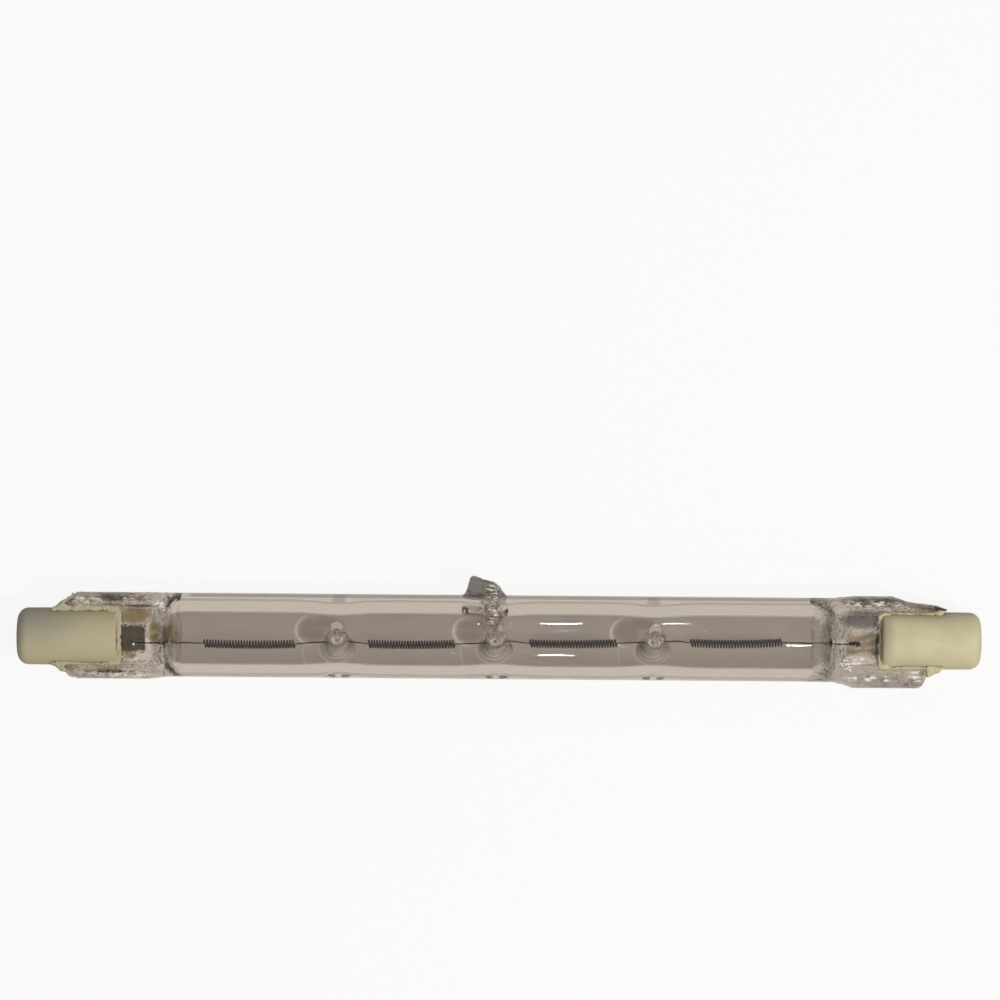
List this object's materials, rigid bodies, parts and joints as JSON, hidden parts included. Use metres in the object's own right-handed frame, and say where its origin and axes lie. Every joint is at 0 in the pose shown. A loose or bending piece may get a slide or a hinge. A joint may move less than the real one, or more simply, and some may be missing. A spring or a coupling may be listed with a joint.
{
  "type": "linear halogen bulb",
  "caption": "Slim double-ended quartz tube lamp with a coiled filament held by dimples, flat pinch seals, a sealed exhaust tip and a white ceramic cap with a recessed contact at each end.",
  "frame": {"origin": "middle of the quartz tube's axis, half way between the outer ends of the ceramic caps", "axes": "+X along the lamp to the right-hand cap, +Y in the plane of the flat pinch seals on the exhaust tip's side, +Z square to that plane and up as the lamp lies"},
  "size_m": [0.118, 0.0132, 0.0102],
  "materials": {
    "quartz": "clear fused quartz, drawn and fire polished",
    "tungsten": "dark drawn and coiled tungsten wire",
    "molybdenum_foil": "rolled molybdenum foil, wrinkled in the glass",
    "molybdenum_wire": "drawn molybdenum wire",
    "ceramic": "unglazed pressed steatite",
    "contact_metal": "stamped nickel-plated metal",
    "cement": "hardened cap cement, finely granular"
  },
  "bodies": {
    "root": {"quartz_envelope": "quartz", "filament": "tungsten", "left_foil": "molybdenum_foil", "right_foil": "molybdenum_foil", "left_outer_lead": "molybdenum_wire", "right_outer_lead": "molybdenum_wire", "left_ceramic_cap": "ceramic", "right_ceramic_cap": "ceramic", "left_contact": "contact_metal", "right_contact": "contact_metal", "left_cement": "cement", "right_cement": "cement"}
  },
  "joints": []
}
